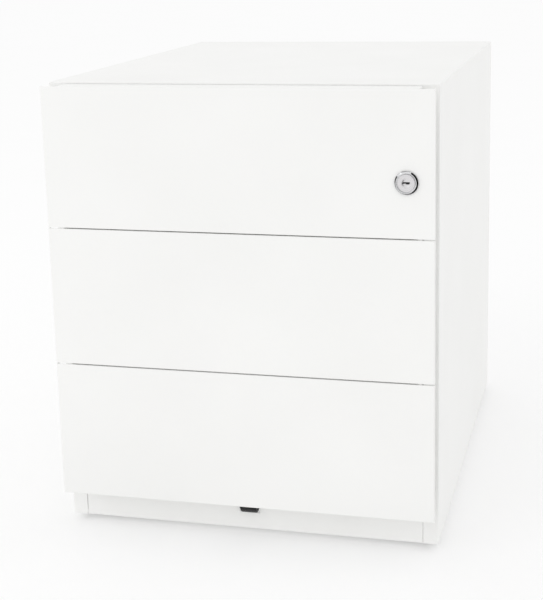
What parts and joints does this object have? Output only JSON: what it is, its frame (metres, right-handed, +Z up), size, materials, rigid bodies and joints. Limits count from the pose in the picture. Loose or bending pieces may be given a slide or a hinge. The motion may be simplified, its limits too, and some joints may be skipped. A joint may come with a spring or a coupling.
{
  "type": "drawer pedestal",
  "caption": "Low white steel filing cabinet with full-width drawers pulled from behind their ends, a cylinder lock at upper right and a recessed plinth.",
  "frame": {"origin": "on the floor, under the middle of the object's box", "axes": "+X to the user's right, +Y from the drawer fronts to the back, +Z up"},
  "size_m": [0.42, 0.568, 0.502],
  "materials": {
    "white_paint": "satin fine-texture powder coat",
    "zinc_steel": "bright zinc plate",
    "chrome": "polished",
    "satin_steel": "satin",
    "black_plastic": "fine matt",
    "grey_tyre": "matt",
    "cast_iron": "dark primer"
  },
  "bodies": {
    "carcass": {"outer_shell": "white_paint", "back_panel": "white_paint", "base_panel": "white_paint", "plinth_panel": "white_paint", "counterweight": "cast_iron", "front_left_upright": "zinc_steel", "rear_left_upright": "zinc_steel", "front_right_upright": "zinc_steel", "rear_right_upright": "zinc_steel", "bottom_left_cabinet_rail": "zinc_steel", "bottom_right_cabinet_rail": "zinc_steel", "middle_left_cabinet_rail": "zinc_steel", "middle_right_cabinet_rail": "zinc_steel", "top_left_cabinet_rail": "zinc_steel", "top_right_cabinet_rail": "zinc_steel", "front_left_castor_plate": "zinc_steel", "rear_left_castor_plate": "zinc_steel", "front_right_castor_plate": "zinc_steel", "rear_right_castor_plate": "zinc_steel"},
    "bottom_drawer": {"bottom_drawer_front": "white_paint", "bottom_drawer_box": "white_paint", "bottom_drawer_catch": "zinc_steel", "bottom_left_drawer_rail": "zinc_steel", "bottom_right_drawer_rail": "zinc_steel", "stabiliser_bracket": "black_plastic", "stabiliser_axle": "zinc_steel"},
    "bottom_middle_rails": {"bottom_left_middle_rail": "zinc_steel", "bottom_right_middle_rail": "zinc_steel"},
    "middle_drawer": {"middle_drawer_front": "white_paint", "middle_drawer_box": "white_paint", "middle_drawer_catch": "zinc_steel", "middle_left_drawer_rail": "zinc_steel", "middle_right_drawer_rail": "zinc_steel"},
    "middle_middle_rails": {"middle_left_middle_rail": "zinc_steel", "middle_right_middle_rail": "zinc_steel"},
    "top_drawer": {"top_drawer_front": "white_paint", "top_drawer_box": "white_paint", "top_drawer_catch": "zinc_steel", "top_left_drawer_rail": "zinc_steel", "top_right_drawer_rail": "zinc_steel", "lock_housing": "chrome", "lock_nut": "zinc_steel"},
    "top_middle_rails": {"top_left_middle_rail": "zinc_steel", "top_right_middle_rail": "zinc_steel"},
    "lock_core": {"lock_plug": "satin_steel", "lock_crank": "zinc_steel"},
    "lock_bar": {"lock_bar": "zinc_steel"},
    "stabiliser_roller": {"stabiliser_roller": "black_plastic"},
    "front_left_castor_fork": {"front_left_castor_fork": "zinc_steel", "front_left_castor_axle": "zinc_steel"},
    "front_left_castor_wheel": {"front_left_castor_wheel": "grey_tyre"},
    "rear_left_castor_fork": {"rear_left_castor_fork": "zinc_steel", "rear_left_castor_axle": "zinc_steel"},
    "rear_left_castor_wheel": {"rear_left_castor_wheel": "grey_tyre"},
    "front_right_castor_fork": {"front_right_castor_fork": "zinc_steel", "front_right_castor_axle": "zinc_steel"},
    "front_right_castor_wheel": {"front_right_castor_wheel": "grey_tyre"},
    "rear_right_castor_fork": {"rear_right_castor_fork": "zinc_steel", "rear_right_castor_axle": "zinc_steel"},
    "rear_right_castor_wheel": {"rear_right_castor_wheel": "grey_tyre"}
  },
  "joints": [
    {"name": "bottom_drawer_slide", "type": "slide", "parent": "carcass", "child": "bottom_drawer", "axis": [0, -1, 0], "range_m": [0, 0.46]},
    {"name": "bottom_rails_slide", "type": "slide", "parent": "carcass", "child": "bottom_middle_rails", "axis": [0, -1, 0], "range_m": [0, 0.23]},
    {"name": "middle_drawer_slide", "type": "slide", "parent": "carcass", "child": "middle_drawer", "axis": [0, -1, 0], "range_m": [0, 0.46]},
    {"name": "middle_rails_slide", "type": "slide", "parent": "carcass", "child": "middle_middle_rails", "axis": [0, -1, 0], "range_m": [0, 0.23]},
    {"name": "top_drawer_slide", "type": "slide", "parent": "carcass", "child": "top_drawer", "axis": [0, -1, 0], "range_m": [0, 0.46]},
    {"name": "top_rails_slide", "type": "slide", "parent": "carcass", "child": "top_middle_rails", "axis": [0, -1, 0], "range_m": [0, 0.23]},
    {"name": "lock_turn", "type": "hinge", "parent": "top_drawer", "child": "lock_core", "pos_m": [0.18, -0.281, 0.4065], "axis": [0, -1, 0], "range_deg": [0, 90]},
    {"name": "lock_bar_lift", "type": "slide", "parent": "carcass", "child": "lock_bar", "axis": [0, 0, 1], "range_m": [0, 0.0113]},
    {"name": "stabiliser_spin", "type": "hinge", "parent": "bottom_drawer", "child": "stabiliser_roller", "pos_m": [0, -0.2535, 0.0346], "axis": [1, 0, 0], "continuous": true},
    {"name": "front_left_castor_swivel", "type": "hinge", "parent": "carcass", "child": "front_left_castor_fork", "pos_m": [-0.16, -0.2, 0.036], "axis": [0, 0, 1], "continuous": true},
    {"name": "front_left_castor_spin", "type": "hinge", "parent": "front_left_castor_fork", "child": "front_left_castor_wheel", "pos_m": [-0.16, -0.187, 0.017], "axis": [1, 0, 0], "continuous": true},
    {"name": "rear_left_castor_swivel", "type": "hinge", "parent": "carcass", "child": "rear_left_castor_fork", "pos_m": [-0.16, 0.215, 0.036], "axis": [0, 0, 1], "continuous": true},
    {"name": "rear_left_castor_spin", "type": "hinge", "parent": "rear_left_castor_fork", "child": "rear_left_castor_wheel", "pos_m": [-0.16, 0.228, 0.017], "axis": [1, 0, 0], "continuous": true},
    {"name": "front_right_castor_swivel", "type": "hinge", "parent": "carcass", "child": "front_right_castor_fork", "pos_m": [0.16, -0.2, 0.036], "axis": [0, 0, 1], "continuous": true},
    {"name": "front_right_castor_spin", "type": "hinge", "parent": "front_right_castor_fork", "child": "front_right_castor_wheel", "pos_m": [0.16, -0.187, 0.017], "axis": [1, 0, 0], "continuous": true},
    {"name": "rear_right_castor_swivel", "type": "hinge", "parent": "carcass", "child": "rear_right_castor_fork", "pos_m": [0.16, 0.215, 0.036], "axis": [0, 0, 1], "continuous": true},
    {"name": "rear_right_castor_spin", "type": "hinge", "parent": "rear_right_castor_fork", "child": "rear_right_castor_wheel", "pos_m": [0.16, 0.228, 0.017], "axis": [1, 0, 0], "continuous": true}
  ],
  "couplings": [
    {"joint": "bottom_rails_slide", "follows": "bottom_drawer_slide", "ratio": 0.5},
    {"joint": "middle_rails_slide", "follows": "middle_drawer_slide", "ratio": 0.5},
    {"joint": "top_rails_slide", "follows": "top_drawer_slide", "ratio": 0.5},
    {"joint": "lock_turn", "follows": "lock_bar_lift", "rad_per_m": 138.8}
  ]
}
